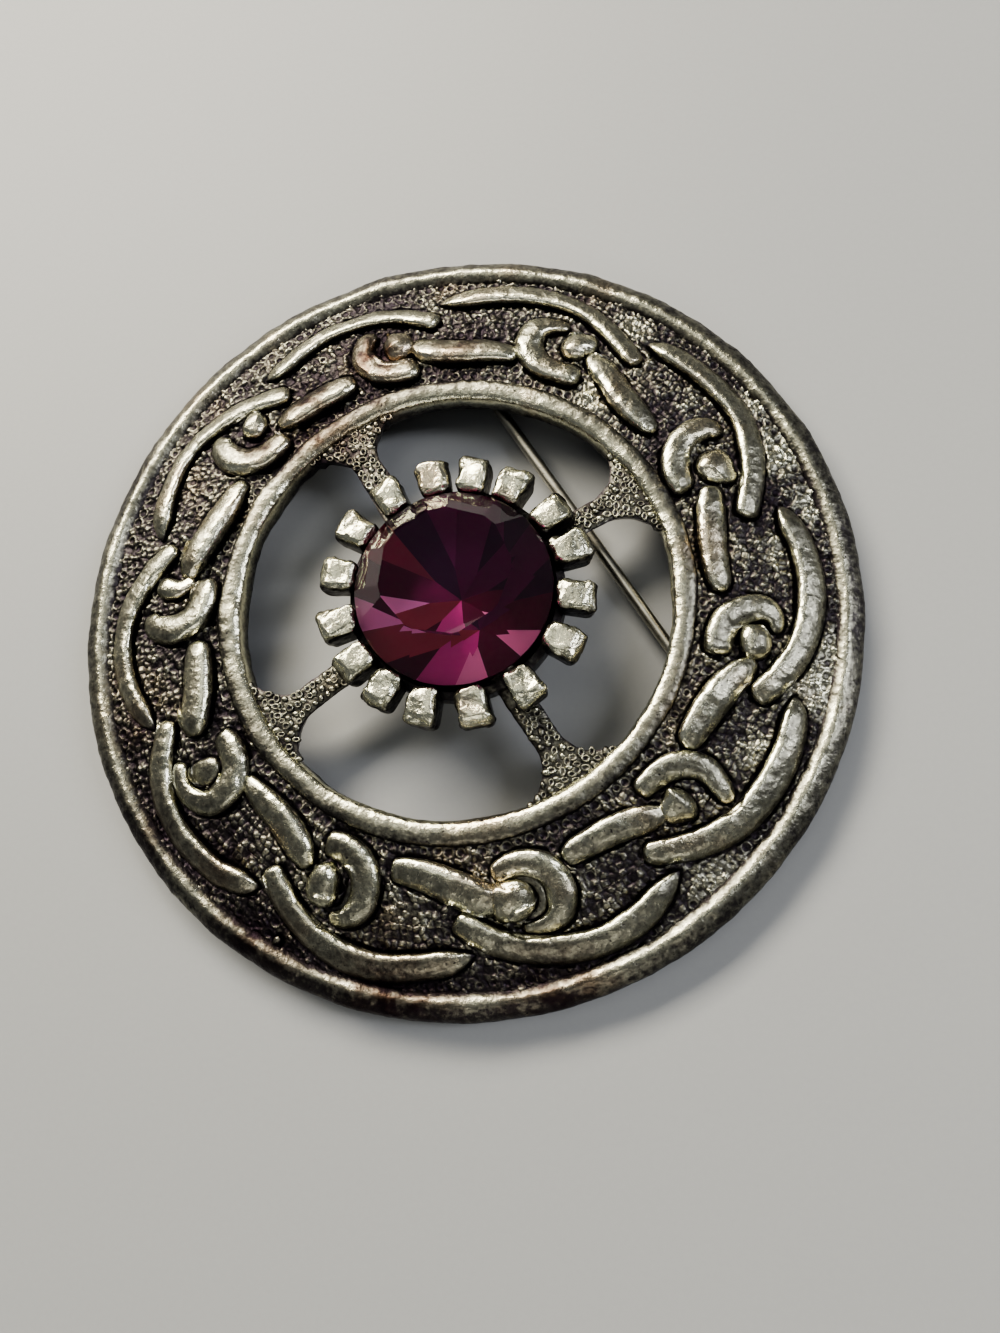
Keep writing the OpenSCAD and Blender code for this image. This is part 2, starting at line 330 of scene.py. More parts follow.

# The cast ring. Columns of the rim and the collar: radius, height, share of rubbed metal, with painted
# light in it on the collar's inner wall and the rim's outer side
ring = {
    "outerR": castHigh.x / mm, "groundInR": 16.45, "groundOutR": 25.8, "windowR": 14.87,
    "groundHigh": 3.75, "groundLow": 2.1, "domePower": 1.6, "steps": 900, "smooth": 60,
    # low share on the rim's outer side: patina, and painted shade
    "rim": [(25.8, 0.0, 0.32), (26.5, 0.0, 0.32), (27.2, 0.0, 0.3), (27.42, 0.12, 0.25), (27.5, 0.4, 0.25),
            (27.5, 0.9, 0.25), (27.5, 1.4, 0.28), (27.47, 1.7, 0.28), (27.39, 1.92, 0.3),
            (27.24, 2.1, 0.32), (27.04, 2.26, 0.34), (26.82, 2.39, 0.36), (26.6, 2.5, 0.38),
            (26.42, 2.57, 0.52), (26.25, 2.6, 0.66), (26.1, 2.58, 0.66), (25.96, 2.52, 0.56),
            (25.8, 2.42, 0.4), (25.62, 2.3, 0.25)],
    # the collar's inner edge and wall are kept pale: rubbed metal on the edge, and a painted highlight down
    # the wall
    "collar": [(16.52, 3.8, 0.05), (16.5, 3.97, 0.18), (16.42, 4.15, 0.26), (16.26, 4.28, 0.34),
               (16.04, 4.36, 0.42), (15.76, 4.4, 0.5), (15.46, 4.39, 0.62), (15.2, 4.32, 0.76),
               (15.0, 4.18, 0.84), (14.88, 3.98, 0.76), (14.85, 3.72, 0.72), (14.85, 3.38, 0.45),
               (14.85, 3.04, 0.3), (14.87, 2.75, 0.25), (14.95, 2.52, 0.33), (15.2, 2.41, 0.36),
               (15.7, 2.4, 0.36), (16.4, 2.45, 0.36)],
    # under the stipple and inside the hollow: first radius, last, step, depth below the ground, rubbing
    "floor": (25.4, 16.45, -1.1, 0.2, 0.1), "belly": (17.2, 24.1, 0.7, 1.15, 0.36),
    # lumps: size and depth, a seed, and the heights between which they set in
    "hammer": [(3.2, 0.14), (0.9, 0.06), (0.4, 0.035)], "seed": 3.1, "hammerFrom": (0.2, 2.2),
}


# Rows of a section that follows the ground at a depth below it
def belowGround(first, last, step, depth, wearAndPaintedLight):
    return [(r, float(groundHeight(r)) - depth, wearAndPaintedLight) for r in np.arange(first, last, step)]


def castRing():
    section = ring["rim"] + belowGround(*ring["floor"]) + ring["collar"] + belowGround(*ring["belly"])
    piece = turnPiece("ring", [(r, z) for r, z, wearAndPaintedLight in section], ring["steps"])
    points = readPoints(piece)
    columns = np.array(section)
    away = (radiusOf(points)[:, None] - columns[:, 0]) ** 2 + (points[:, 2, None] - columns[:, 1]) ** 2
    finishCasting(piece, ring, columns[away.argmin(axis=1), 2], points[:, 2])


# The interlace, in ten units clockwise from the top right. A unit has an outer arc, a hook, the knob
# in the hook's bowl and the strand that runs on from it. Points along each: degrees clockwise from
# the back of the unit's hook, radius and full width
interlace = {
    # step along a strand, points worked out between two charted ones, fewest points
    "spacing": 0.13, "between": 12, "fewest": 6,
    # the section: height in half widths, how square its sides and top are, foot and depth below ground
    "crown": 0.88, "sideCurve": 0.78, "topCurve": 0.85, "footWidth": 1.05, "sink": 0.4, "sectionPoints": 24,
    # the lean outward per mm, the heights between which it sets in, and the rounding of a strand's ends
    "lean": 0.2, "leanFrom": (0.0, 0.5), "endRun": 0.42, "endTip": 0.01,
    # how much broader the charted strands are cast, and how far they run on before their first point
    "broad": {"arcs": 1.05, "hooks": 1.2, "knobs": 1.34, "strands": 1.2, "ridges": 1.07},
    "runOn": {"arcs": 0.0, "hooks": 0.0, "knobs": 0.15, "strands": 0.3, "ridges": 0.0},
    # rubbing of the foot and the top by height, and a painted highlight along the crest, by height and by
    # how far a face turns to the middle
    "footWear": 0.08, "topWear": 0.42, "topFrom": (0.1, 0.34),
    "crestHighlight": 0.42, "crestFrom": (0.2, 0.5), "crestFacing": (-0.3, 0.15),
    "hammer": [(1.6, 0.07), (0.6, 0.045), (0.3, 0.022)], "seed": 8.3, "hammerFrom": (-0.1, 0.5),
    "smooth": 70, "merge": 0.001,
    "hookBack": [76, 37, -1, -33.5, -68, -103, -138, -174, -212.5, -247.7],
    "arcs": [
        [(-17.5, 23.6, 0.3), (-13, 23.75, 1.5), (-8, 24.1, 1.7), (-2, 24.3, 1.65), (4, 24.25, 1.5),
         (9, 23.95, 1.45), (14, 23.2, 1.5), (19, 22.3, 1.5), (23.6, 21.6, 1.2)],
        [(-17, 23.5, 0.3), (-13, 23.75, 1.5), (-8, 23.95, 1.65), (-2, 24.0, 1.7), (4, 23.85, 1.65),
         (9, 23.25, 1.7), (14, 22.4, 1.65), (19, 21.3, 1.65), (22.8, 20.55, 1.45)],
        [(-16.5, 23.0, 0.3), (-13, 23.3, 1.6), (-8, 23.8, 1.8), (-2, 23.95, 1.9), (4, 23.75, 1.85),
         (9, 23.2, 1.8), (13.5, 22.4, 1.8), (17, 21.55, 1.7), (19.2, 20.95, 1.3)],
        [(-16.3, 23.5, 0.3), (-13, 23.85, 1.6), (-8, 24.15, 1.85), (-2, 24.15, 1.95), (4, 23.95, 1.95),
         (9, 23.4, 1.85), (14, 22.5, 1.7), (18, 21.6, 1.55), (20.5, 21.0, 1.2)],
        [(-17.2, 23.2, 0.3), (-13, 23.6, 1.5), (-8, 24.15, 1.8), (-2, 24.35, 1.8), (4, 24.0, 1.85),
         (9, 23.45, 1.8), (14, 22.7, 1.75), (18, 21.8, 1.7), (21, 21.0, 1.4)],
        [(-17, 23.3, 0.3), (-13, 23.7, 1.5), (-8, 24.1, 1.75), (-2, 24.5, 1.9), (4, 24.4, 1.95),
         (9, 23.9, 1.9), (14, 23.1, 1.75), (18, 22.2, 1.75), (21.3, 21.3, 1.4)],
        [(-14, 22.9, 0.3), (-11, 23.4, 1.5), (-6, 24.05, 1.7), (0, 24.3, 1.75), (5, 24.25, 1.75),
         (10, 23.85, 1.8), (14, 23.1, 1.8), (18, 22.1, 1.7), (21, 21.3, 1.3)],
        [(-15.3, 22.6, 0.3), (-12, 23.2, 1.45), (-8, 23.8, 1.6), (-3, 24.2, 1.65), (2, 24.25, 1.65),
         (7, 23.85, 1.7), (12, 22.95, 1.75), (16.5, 21.9, 1.7), (20, 20.9, 1.2)],
        [(-17.8, 22.4, 0.3), (-14, 23.0, 1.55), (-9, 23.55, 1.55), (-4, 23.85, 1.45), (1, 23.85, 1.4),
         (6, 23.4, 1.5), (11, 22.65, 1.6), (15.5, 21.85, 1.6), (19, 21.1, 1.6), (21.2, 20.8, 1.3)],
        [(-16.5, 23.3, 0.3), (-13, 23.2, 1.4), (-8, 23.55, 1.45), (-3, 23.85, 1.35), (2, 23.75, 1.35),
         (7, 23.5, 1.4), (12, 22.95, 1.45), (16, 22.25, 1.5), (19, 21.65, 1.35)],
    ],
    "hooks": [
        [(8.5, 22.1, 0.6), (5.2, 21.95, 1.2), (2.4, 21.35, 1.65), (1.7, 20.3, 1.8), (2.6, 19.3, 1.8),
         (5.5, 18.5, 1.6), (9.5, 18.3, 1.5), (13.0, 18.35, 1.5), (15.6, 18.4, 1.1)],
        [(5.6, 21.9, 0.9), (3.4, 21.4, 1.35), (2.4, 20.4, 1.6), (2.7, 19.3, 1.65), (4.5, 18.35, 1.7),
         (7.5, 17.75, 1.7), (11, 17.5, 1.55), (13.5, 17.6, 1.15)],
        [(7.0, 21.7, 0.6), (4.3, 21.5, 1.15), (2.7, 20.8, 1.55), (2.6, 19.9, 1.65), (4.1, 18.85, 1.75),
         (7, 18.2, 1.7), (10.5, 18.0, 1.65), (13.2, 18.1, 1.35)],
        [(4.4, 22.7, 0.7), (3.3, 22.0, 1.15), (2.3, 21.0, 1.35), (2.0, 20.1, 1.45), (3.2, 19.1, 1.55),
         (6, 18.35, 1.5), (10, 18.0, 1.35), (14, 18.0, 1.15)],
        [(9.8, 22.1, 0.5), (6.2, 22.2, 0.9), (3.2, 21.85, 1.4), (1.7, 20.9, 1.65), (1.5, 19.8, 1.65),
         (3, 18.8, 1.65), (6.5, 18.2, 1.5), (10, 18.2, 1.35), (13.5, 18.55, 0.9)],
        [(8.2, 22.4, 0.6), (5.2, 22.05, 1.2), (3.2, 21.2, 1.6), (2.9, 20.1, 1.7), (3.7, 19.0, 1.75),
         (6.3, 18.2, 1.75), (10, 17.9, 1.65), (13.8, 18.0, 1.35)],
        [(12.6, 21.5, 0.9), (10.5, 22.15, 1.15), (7.5, 22.3, 1.25), (4.7, 21.9, 1.4), (2.7, 21.1, 1.6),
         (2.3, 20.0, 1.7), (3.2, 18.95, 1.8), (6, 18.2, 1.8), (10, 18.0, 1.7), (13, 18.3, 1.2)],
        [(6.2, 21.95, 1.0), (3.8, 21.5, 1.55), (2.6, 20.5, 1.8), (2.8, 19.5, 1.85), (4.3, 18.45, 1.9),
         (7.3, 17.9, 1.85), (10.8, 17.75, 1.75), (13.8, 17.95, 1.2)],
        [(5.8, 21.9, 1.1), (3.6, 21.45, 1.6), (2.7, 20.5, 1.8), (3.1, 19.5, 1.85), (4.8, 18.6, 1.8),
         (8, 18.0, 1.75), (11.5, 17.8, 1.6), (14.5, 17.7, 1.1)],
        [(6.4, 22.0, 0.9), (4.0, 21.45, 1.4), (2.7, 20.4, 1.6), (3.3, 19.3, 1.7), (5.3, 18.45, 1.7),
         (8.5, 18.05, 1.65), (12, 17.95, 1.55), (14.3, 18.0, 1.1)],
    ],
    "knobs": [
        [(8.6, 20.3, 1.0), (10.5, 20.55, 1.7), (13, 21.05, 1.6), (15.2, 21.0, 1.0)],
        [(7.5, 19.75, 0.9), (9.4, 19.95, 1.9), (12, 20.35, 1.8), (15.2, 20.9, 0.5)],
        [(8.9, 21.3, 1.2), (9, 20.7, 1.75), (9, 19.9, 1.75), (9.3, 19.25, 1.2)],
        [(7.7, 20.3, 1.3), (9.5, 20.3, 1.95), (11.4, 20.2, 1.5), (13.8, 20.0, 0.9)],
        [(6.4, 20.25, 1.15), (8.3, 20.25, 1.85), (11, 20.3, 2.0), (14.2, 20.15, 1.8)],
        [(8.0, 20.4, 1.7), (9.7, 20.5, 2.2), (11.6, 20.5, 2.2), (13.8, 20.4, 1.4)],
        [(5.9, 20.4, 1.3), (8.3, 20.3, 1.9), (10.9, 20.1, 1.45)],
        [(11.9, 21.5, 0.9), (11.3, 20.9, 1.25), (11.1, 20.0, 1.1), (12, 19.3, 0.9), (13.6, 18.7, 0.6)],
        [(10.2, 21.4, 1.0), (10.8, 20.9, 1.65), (11.3, 20.2, 1.5), (12.2, 19.6, 0.9)],
        [(7.3, 20.1, 1.2), (9, 20.1, 1.9), (10.8, 20.3, 1.9), (13, 20.9, 1.2)],
    ],
    "strands": [
        [(15, 20.3, 1.0), (18, 19.85, 1.65), (21, 19.45, 1.7), (25, 18.8, 1.75), (29, 18.45, 1.7),
         (33, 18.3, 1.45), (36.8, 18.25, 0.7)],
        [(15, 19.1, 1.2), (18, 18.65, 1.65), (22, 18.25, 1.7), (27, 17.9, 1.6), (32, 17.85, 1.5),
         (35.5, 18.0, 1.25), (37.6, 18.15, 0.7)],
        [(12.8, 20.35, 0.9), (15, 19.85, 1.55), (18, 19.25, 1.8), (22, 18.75, 1.85), (27, 18.45, 1.7),
         (31, 18.4, 1.45), (33.4, 18.3, 1.0)],
        [(13, 20.0, 0.9), (16, 19.5, 1.5), (20, 18.95, 1.6), (25, 18.65, 1.55), (30, 18.65, 1.4),
         (33.5, 18.9, 1.0)],
        [(13, 20.1, 1.6), (16, 19.85, 2.0), (20.5, 19.15, 1.95), (25, 18.55, 1.8), (30, 18.25, 1.6),
         (34, 18.3, 1.2)],
        [(15.3, 19.9, 1.0), (17.5, 19.4, 1.65), (21, 18.8, 1.85), (25, 18.4, 1.8), (30, 18.3, 1.6),
         (34, 18.25, 1.2), (37, 18.1, 0.7)],
        [(16.2, 19.9, 1.3), (18, 19.6, 1.9), (21, 19.1, 2.0), (25, 18.55, 1.95), (29, 18.3, 1.9),
         (32.5, 18.15, 1.7), (35.3, 18.0, 1.0)],
        [(14.2, 19.3, 1.2), (17, 19.2, 1.8), (21, 18.85, 1.95), (26, 18.45, 1.95), (31, 18.2, 1.85),
         (35.5, 18.15, 1.35), (38.6, 17.95, 0.7)],
        [(15.2, 19.0, 1.0), (18, 18.85, 1.65), (22, 18.7, 1.8), (27, 18.6, 1.8), (31, 18.55, 1.65),
         (34.6, 18.6, 1.1)],
        [(13.8, 19.9, 1.2), (16.5, 19.3, 1.75), (20, 19.0, 1.8), (25, 18.85, 1.75), (30, 18.95, 1.65),
         (34, 18.9, 1.35), (36.8, 18.7, 0.9)],
    ],
    # the knob that is a low flat boss: unit, turn and radius of its middle, reach, share of its height
    "lowBoss": (6, 8.4, 20.25, 1.2, 0.38),
    # fine ridges round some of the knobs: unit, then points as above
    "ridges": [
        (4, [(8.6, 21.55, 0.45), (6.0, 21.25, 0.58), (4.9, 20.4, 0.6), (5.9, 19.4, 0.58),
             (9.5, 18.98, 0.45)]),
        (5, [(9.2, 22.0, 0.4), (6.6, 21.6, 0.5), (5.8, 20.6, 0.5), (6.3, 19.5, 0.45)]),
        (5, [(14.0, 25.5, 0.4), (14.6, 25.3, 0.85), (15.3, 25.25, 0.5)]),
        (9, [(6.2, 20.0, 0.45), (7.6, 19.3, 0.55), (10.2, 18.95, 0.58), (12.0, 19.5, 0.55),
             (12.6, 20.3, 0.45)]),
    ],
}


# A smooth line through the charted points in even steps, with its half widths, closed over at its ends
def drawStroke(rows, unit, kind):
    hookBack = interlace["hookBack"][unit]
    knots = [np.array([*polarPoint(hookBack - turn, radius), width / 2]) for turn, radius, width in rows]
    knots = [2 * knots[0] - knots[1]] + knots + [2 * knots[-1] - knots[-2]]
    line = []
    for i in range(1, len(knots) - 2):
        before, here, there, after = knots[i - 1:i + 3]
        for t in np.linspace(0, 1, interlace["between"], endpoint=False):
            slope = (there - before) * t
            bend = (2 * before - 5 * here + 4 * there - after) * t ** 2
            turning = (3 * here - before - 3 * there + after) * t ** 3
            line.append(0.5 * (2 * here + slope + bend + turning))
    line = np.array(line + [knots[-2]])
    back = (line[0] - line[1])[:2]
    line = np.vstack([line[0] + [*(back / np.hypot(*back) * interlace["runOn"][kind]), 0], line])
    reach = np.concatenate([[0], np.cumsum(np.hypot(*np.diff(line[:, :2], axis=0).T))])
    steps = np.linspace(0, reach[-1], max(interlace["fewest"], int(reach[-1] / interlace["spacing"])))
    points = np.column_stack([np.interp(steps, reach, line[:, 0]), np.interp(steps, reach, line[:, 1])])
    fromEnd = np.minimum(steps, reach[-1] - steps) / interlace["endRun"]
    rounding = np.sqrt(1 - (1 - np.clip(fromEnd, interlace["endTip"], 1)) ** 2)
    return points, interlace["broad"][kind] * np.interp(steps, reach, line[:, 2]) * rounding


def chartStrands():
    drawn = []
    for unit in range(len(interlace["hookBack"])):
        for kind in ("arcs", "hooks", "knobs", "strands"):
            drawn.append(drawStroke(interlace[kind][unit], unit, kind))
    for unit, rows in interlace["ridges"]:
        drawn.append(drawStroke(rows, unit, "ridges"))
    return drawn


strokes = chartStrands()
# the middle lines of all strands and the half width at each of their points, which the ground reads
middles = planTree(np.concatenate([points for points, halfWidths in strokes]))
middleWidths = np.concatenate([halfWidths for points, halfWidths in strokes])


# Cross-section of a strand in half widths: upright sides, a flattened round top, sunk below the ground
def strandSection():
    corners = []
    for t in np.linspace(0, math.pi, interlace["sectionPoints"] - 2):
        across = math.copysign(abs(math.cos(t)) ** interlace["sideCurve"], math.cos(t))
        corners.append((across, interlace["crown"] * math.sin(t) ** interlace["topCurve"]))
    corners += [(-interlace["footWidth"], -interlace["sink"]), (interlace["footWidth"], -interlace["sink"])]
    deselectAll()
    curve = bpy.data.curves.new("strandSection", "CURVE")
    curve.dimensions = "2D"
    spline = curve.splines.new("POLY")
    spline.points.add(len(corners) - 1)
    spline.use_cyclic_u = True
    for point, (x, y) in zip(spline.points, corners):
        point.co = (x, y, 0, 1)
    section = bpy.data.objects.new("strandSection", curve)
    bpy.context.collection.objects.link(section)
    return section


def castInterlace():
    section = strandSection()
    curve = bpy.data.curves.new("interlace", "CURVE")
    curve.dimensions = "3D"
    curve.twist_mode = "Z_UP"
    curve.bevel_mode = "OBJECT"
    curve.bevel_object = section
    curve.use_fill_caps = True
    for points, halfWidths in strokes:
        spline = curve.splines.new("POLY")
        spline.points.add(len(points) - 1)
        for point, (x, y), halfWidth in zip(spline.points, points, halfWidths):
            point.co = (x, y, 0, 1)
            point.radius = halfWidth
    piece = bpy.data.objects.new("interlace", curve)
    bpy.context.collection.objects.link(piece)
    makeActive(piece)
    bpy.ops.object.convert(target="MESH")
    bpy.data.objects.remove(section)
    piece = bpy.context.object
    mergeAndTurnOut(piece, interlace["merge"])
    points = readPoints(piece)
    unit, turn, bossR, reach, share = interlace["lowBoss"]
    fromBoss = np.hypot(*(points[:, :2] - polarPoint(interlace["hookBack"][unit] - turn, bossR)).T)
    points[:, 2] *= np.where(fromBoss < reach, share, 1)
    height = points[:, 2].copy()
    radius = radiusOf(points)
    # the top leans outward, so that the crest runs along the side towards the middle of the brooch
    middleR = np.array([math.hypot(*middles.find((x, y, 0))[0][:2]) for x, y in points[:, :2]])
    lean = interlace["lean"] * (radius - middleR) * smoothStep(*interlace["leanFrom"], height)
    points[:, 2] += groundHeight(radius) - lean
    writePoints(piece, points)
    inward = -(readNormals(piece)[:, :2] * points[:, :2]).sum(axis=1) / radius
    topWear = interlace["topWear"] * smoothStep(*interlace["topFrom"], height)
    # painted highlight along the crest, on the side that turns to the middle of the brooch
    crestHighlight = interlace["crestHighlight"] * smoothStep(*interlace["crestFacing"], inward)
    crestHighlight *= smoothStep(*interlace["crestFrom"], height)
    finishCasting(piece, interlace, interlace["footWear"] + topWear + crestHighlight, height)


castRing()
castInterlace()
print("ring and interlace are done")

# The stippled ground: irregular pebbles punched close together with dark creases between them, and
# small ringed craters over them
stipple = {
    # pebbles: rows and steps between them, how far they stray, least and greatest height
    "innerR": 16.5, "outerR": 25.7, "row": 0.47, "step": 0.48, "jitter": 0.18, "pebbleHigh": (0.06, 0.22),
    "seed": 24, "crease": 0.17, "pebbleRound": 1.6, "pebbleTop": 0.14,
    # craters: radius and height of the lip, its width, the strip round it where the pebbles give way,
    # and the depth of the dent
    "craterR": (0.21, 0.34), "craterHigh": (0.13, 0.21), "craterWide": 0.08, "craterClear": (-0.15, -0.02),
    "craterDeep": 0.05,
    # how far they stray in radius, and round the row in steps, and how far off a strand they stay
    "craterStray": 0.12, "craterTurn": 0.16, "craterOff": 0.1,
    # rows of craters: radius, step, share kept
    "craterRows": [(16.9, 0.78, 0.8), (17.8, 1.1, 0.35), (19.1, 1.5, 0.3), (20.5, 1.5, 0.3),
                   (22.0, 1.5, 0.35), (23.2, 1.4, 0.35), (24.3, 1.2, 0.4), (25.2, 0.82, 0.75)],
    # lumps under it all: size, seed, depth. The last one makes lips uneven: least, more, size, seed
    "soft": (2.6, 6.1), "softLift": 0.6, "crinkle": [(0.6, 4.4, 0.17), (0.3, 9.2, 0.05)],
    "lipUneven": (0.8, 0.6, 0.35, 2.9),
    # how rubbed each part is
    "hollowTone": 0.12, "pebbleTone": 0.26, "crinkleTone": 1.1, "crinkleLimits": (-0.08, 0.14),
    "softTone": 0.24, "dentTone": 0.06, "lipTone": 0.4, "footTone": 0.3,
    # where the ground dips beside a strand: the distances between which it rises again, and the dip
    "foot": (-0.05, 0.28), "footDeep": 0.12,
    # thickness of a sheet, and how near to the ground's height its upper side is
    "sheetDeep": 0.5, "topWithin": 0.1, "smooth": 180,
    # the two sheets: name, inner radius, outer radius, rows and steps round
    "sheets": [("innerStipple", 16.38, 21.54, 64, 1420), ("outerStipple", 21.5, 25.9, 52, 1720)],
    # rubbed more here: angle, radius, reach, share
    "worn": [(24, 25.0, 3.0, 0.5), (15, 25.4, 2.4, 0.45), (56, 17.6, 1.6, 0.45), (58, 24.2, 2.0, 0.4),
             (-15, 25.0, 2.6, 0.45), (-48, 25.1, 2.8, 0.35), (-8, 25.6, 2.4, 0.4), (34, 25.7, 2.4, 0.4),
             (-28, 22.6, 2.2, 0.3), (8, 22.4, 1.8, 0.3)],
}


# A random shift, either way
def stray(most):
    return random.uniform(-most, most)


def stippleSpots():
    random.seed(stipple["seed"])
    spots = []
    rowCount = int((stipple["outerR"] - stipple["innerR"]) / stipple["row"])
    for i in range(rowCount + 1):
        rowR = stipple["innerR"] + i * (stipple["outerR"] - stipple["innerR"]) / rowCount
        count = int(2 * math.pi * rowR / stipple["step"])
        phase = random.random()
        for k in range(count):
            radius = rowR + stray(stipple["jitter"])
            angle = 360 * (k + phase) / count + math.degrees(stray(stipple["jitter"]) / rowR)
            spots.append((*polarPoint(angle, radius), random.uniform(*stipple["pebbleHigh"])))
    return spots


def craterSpots():
    spots = []
    for rowR, step, share in stipple["craterRows"]:
        count = int(2 * math.pi * rowR / step)
        for k in range(count):
            radius = rowR + stray(stipple["craterStray"])
            shift = stray(stipple["craterTurn"]) * step / rowR
            x, y = polarPoint(360 * k / count + math.degrees(shift), radius)
            place, index, distance = middles.find((x, y, 0))
            if random.random() < share and distance > middleWidths[index] + stipple["craterOff"]:
                high = random.uniform(*stipple["craterHigh"])
                spots.append((x, y, high, random.uniform(*stipple["craterR"])))
    return spots


def stippleSheet(name, innerR, outerR, rows, steps, pebbles, craters):
    section = [(radius, float(groundHeight(radius))) for radius in np.linspace(innerR, outerR, rows)]
    deep = stipple["sheetDeep"]
    section += [(outerR, section[-1][1] - deep), (innerR, section[0][1] - deep)]
    piece = turnPiece(name, section, steps)
    points = readPoints(piece)
    flat = np.column_stack([points[:, :2], np.zeros(len(points))])

    # a pebble is high in its middle and ends in a crease where the next one is as near
    pebbleTree = planTree(pebbles)
    found = [pebbleTree.find_n(point, 2) for point in flat.tolist()]
    nearest = np.array([first[1] for first, second in found])
    toFirst = np.array([first[2] for first, second in found])
    toSecond = np.array([second[2] for first, second in found])
    inside = smoothStep(0, stipple["crease"], toSecond - toFirst)
    dots = np.array(pebbles)[nearest, 2] * inside * (1 - stipple["pebbleRound"] * toFirst ** 2)
    soft = 0.5 + 0.5 * lumps(flat, *stipple["soft"])
    crinkle = sum(lumps(flat, size, seed) * depth for size, seed, depth in stipple["crinkle"])
    lift = dots * (stipple["softLift"] + (1 - stipple["softLift"]) * soft) + crinkle
    tone = stipple["hollowTone"] + stipple["pebbleTone"] * np.clip(dots / stipple["pebbleTop"], 0, 1)
    tone += stipple["crinkleTone"] * np.clip(crinkle, *stipple["crinkleLimits"])
    tone += stipple["softTone"] * (soft - 0.5)

    # craters lie over the pebbles: a raised lip round a dark dent
    craterTree = planTree(craters)
    found = [craterTree.find(point) for point in flat.tolist()]
    high, lipR = np.array(craters)[[index for place, index, distance in found], 2:].T
    away = np.array([distance for place, index, distance in found])
    least, more, size, seed = stipple["lipUneven"]
    lip = np.exp(-((away - lipR) / stipple["craterWide"]) ** 2) * (least + more * lumps(flat, size, seed))
    share = smoothStep(*stipple["craterClear"], lipR - away)
    lift += share * (high * lip - stipple["craterDeep"] - lift)
    tone += share * (stipple["dentTone"] + stipple["lipTone"] * lip - tone)

    # beside the strands the ground is smooth, low and dark
    found = [middles.find(point) for point in flat.tolist()]
    fromStrand = np.array([distance - middleWidths[index] for place, index, distance in found])
    clear = smoothStep(*stipple["foot"], fromStrand)
    top = points[:, 2] > groundHeight(radiusOf(points)) - stipple["topWithin"]
    points[:, 2] += np.where(top, lift * clear - stipple["footDeep"] * (1 - clear), 0)
    writePoints(piece, points)
    toneLevel = tone + spotShares(points, stipple["worn"])
    finishCasting(piece, stipple, toneLevel * (stipple["footTone"] + (1 - stipple["footTone"]) * clear))


# The four spokes, widened by fillets where they meet the collar
spokes = {
    "angles": [30, 121, 214, 303.5], "width": [1.9, 2.0, 1.9, 1.9], "fillet": 2.6, "rootR": 6.4,
    "tipR": 15.6, "tipWide": 1.0, "hubTop": 4.7, "tipTop": 3.88, "topCurve": 0.8, "bottom": 2.48,
    "thick": 1.5, "crown": 0.12,
    # the grid of a spoke, and how much finer it gets towards the tip
    "rows": 60, "columns": 16, "finer": 0.75,
    "sideWear": 0.08, "faceWear": 0.24, "facing": (0.3, 0.9),
    "hammer": [(1.2, 0.08), (0.5, 0.05)], "seed": 5.2, "smooth": 50,
}
# Small domes and craters on the spokes
beads = {
    # sections: share of the radius, share of the height
    "sides": 9, "dome": [(1.0, -0.5), (0.84, 0.45), (0.42, 0.9), (0.0, 1.0)],
    "crater": [(1.0, -0.5), (0.9, 0.65), (0.68, 0.95), (0.42, 0.3), (0.0, 0.1)],
    # first and last place along the spoke, step, strip left at the sides, straying across and along
    "along": (9.0, 15.2, 0.5), "edge": 0.12, "strayAcross": 0.1, "strayAlong": 0.14, "sunk": 0.03,
    "radius": (0.24, 0.34), "height": (0.14, 0.24), "craterShare": 0.6, "squash": (0.78, 1.28),
    "footWear": 0.15, "topWear": (0.3, 0.6), "smooth": 180,
}


# The middle of a spoke's fillet: its distance from the spoke's line, and its place along it
def filletMiddle(width):
    side = width / 2 + spokes["fillet"]
    return side, math.sqrt((ring["windowR"] - spokes["fillet"]) ** 2 - side ** 2)


def spokeHalfWidth(along, width):
    side, middle = filletMiddle(width)
    if along <= middle:
        return width / 2
    return side - math.sqrt(max(spokes["fillet"] ** 2 - (along - middle) ** 2, 0))


def spokeTop(along):
    share = (along - spokes["rootR"]) / (ring["windowR"] - spokes["rootR"])
    drop = spokes["tipTop"] - spokes["hubTop"]
    return spokes["hubTop"] + drop * min(max(share, 0), 1) ** spokes["topCurve"]


def spokeBeadSpots():
    spots = []
    step = beads["along"][2]
    for angle, width in zip(spokes["angles"], spokes["width"]):
        turn = math.radians(angle)
        for along in np.arange(*beads["along"]):
            half = spokeHalfWidth(along, width) - beads["edge"]
            count = max(1, int(2 * half / step))
            for k in range(count):
                across = -half + (k + 0.5) * 2 * half / count + stray(beads["strayAcross"])
                forward = along + stray(beads["strayAlong"])
                x = forward * math.cos(turn) - across * math.sin(turn)
                y = forward * math.sin(turn) + across * math.cos(turn)
                size = random.uniform(*beads["radius"])
                height = random.uniform(*beads["height"])
                crater = random.random() < beads["craterShare"]
                spots.append((x, y, spokeTop(forward) - beads["sunk"], size, height, crater))
    return spots


def modelBead(name, section):
    bead = turnPiece(name, section + [(0.0, section[0][1])], beads["sides"])
    makeActive(bead)
    bpy.ops.object.mode_set(mode="EDIT")
    bpy.ops.mesh.select_all(action="SELECT")
    bpy.ops.mesh.quads_convert_to_tris()
    bpy.ops.object.mode_set(mode="OBJECT")
    points = readPoints(bead)
    faces = np.array([face.vertices[:] for face in bead.data.polygons])
    bpy.data.objects.remove(bead)
    return points, faces


